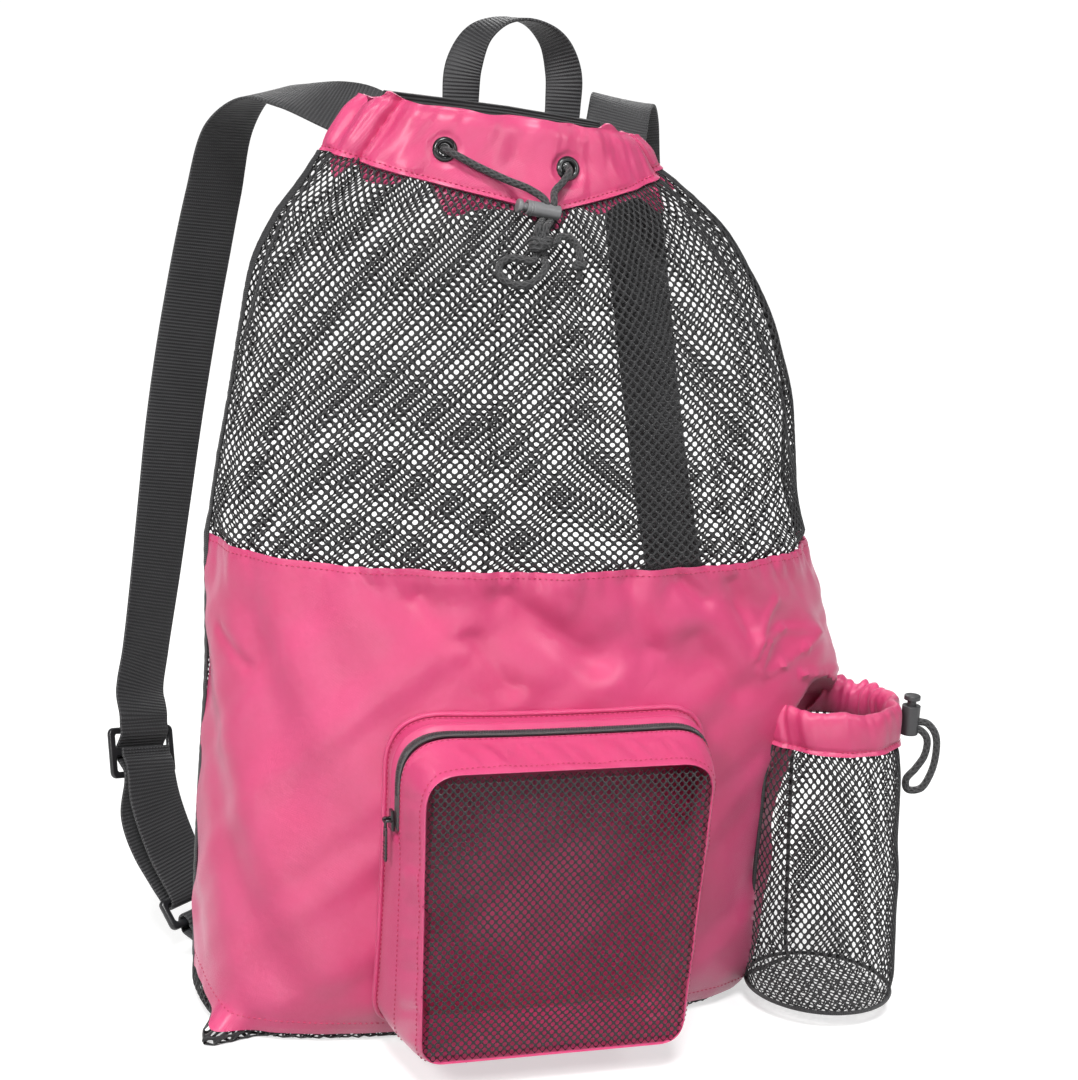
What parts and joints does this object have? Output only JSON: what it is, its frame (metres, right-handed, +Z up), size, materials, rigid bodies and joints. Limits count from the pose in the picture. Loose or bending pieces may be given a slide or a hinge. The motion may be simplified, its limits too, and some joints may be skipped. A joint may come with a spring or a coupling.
{
  "type": "mesh swim backpack",
  "caption": "Soft drawstring swim backpack with a nylon lower front, net body, gathered collar with cord lock, webbing straps, zipped front pocket and net bottle pocket.",
  "frame": {"origin": "on the floor under the middle of the base", "axes": "+Z up, front faces -Y, +X to the right of a viewer who faces the front"},
  "size_m": [0.4653, 0.3146, 0.577],
  "materials": {
    "pink": "coated nylon, satin",
    "net": "knitted polyester net",
    "webbing": "ribbed polypropylene webbing",
    "cord": "braided cord",
    "plastic": "moulded acetal",
    "lock": "moulded grey plastic",
    "metal": "black oxide"
  },
  "bodies": {
    "bag": {"anchor_left": "webbing", "anchor_right": "webbing", "back_mesh": "net", "back_yoke": "webbing", "base_mesh": "net", "bottle_cord": "cord", "bottle_lock_barrel": "lock", "bottle_pocket_base": "net", "bottle_pocket_collar": "pink", "bottle_pocket_mesh": "net", "collar": "pink", "collar_eyelet_left": "metal", "collar_eyelet_right": "metal", "cord_lock_barrel": "lock", "drawcord_end_knot": "cord", "drawcord_knot": "cord", "drawcord_left": "cord", "drawcord_loop": "cord", "drawcord_right": "cord", "drawcord_tail": "cord", "front_mesh": "net", "front_panel": "pink", "grab_handle": "webbing", "pocket_gusset": "pink", "pocket_window": "net", "ring_left": "plastic", "ring_right": "plastic", "slider_left": "plastic", "slider_right": "plastic", "strap_left": "webbing", "strap_right": "webbing", "zip_chain": "webbing", "zip_slider": "metal"},
    "zip_pull": {"zip_pull": "metal"},
    "cord_lock_button": {"cord_lock_button": "lock"},
    "bottle_lock_button": {"bottle_lock_button": "lock"}
  },
  "joints": [
    {"name": "zip_pull_hinge", "type": "hinge", "parent": "bag", "child": "zip_pull", "pos_m": [-0.1027, -0.09607, 0.15113], "axis": [0, 1, 0], "range_deg": [0, 170]},
    {"name": "cord_lock_press", "type": "slide", "parent": "bag", "child": "cord_lock_button", "axis": [0.9903, 0, -0.1392], "range_m": [0, 0.0025], "stiffness_N_per_m": 500, "springref_m": -0.001},
    {"name": "bottle_lock_press", "type": "slide", "parent": "bag", "child": "bottle_lock_button", "axis": [0, 0, -1], "range_m": [0, 0.003], "stiffness_N_per_m": 500, "springref_m": -0.001}
  ]
}
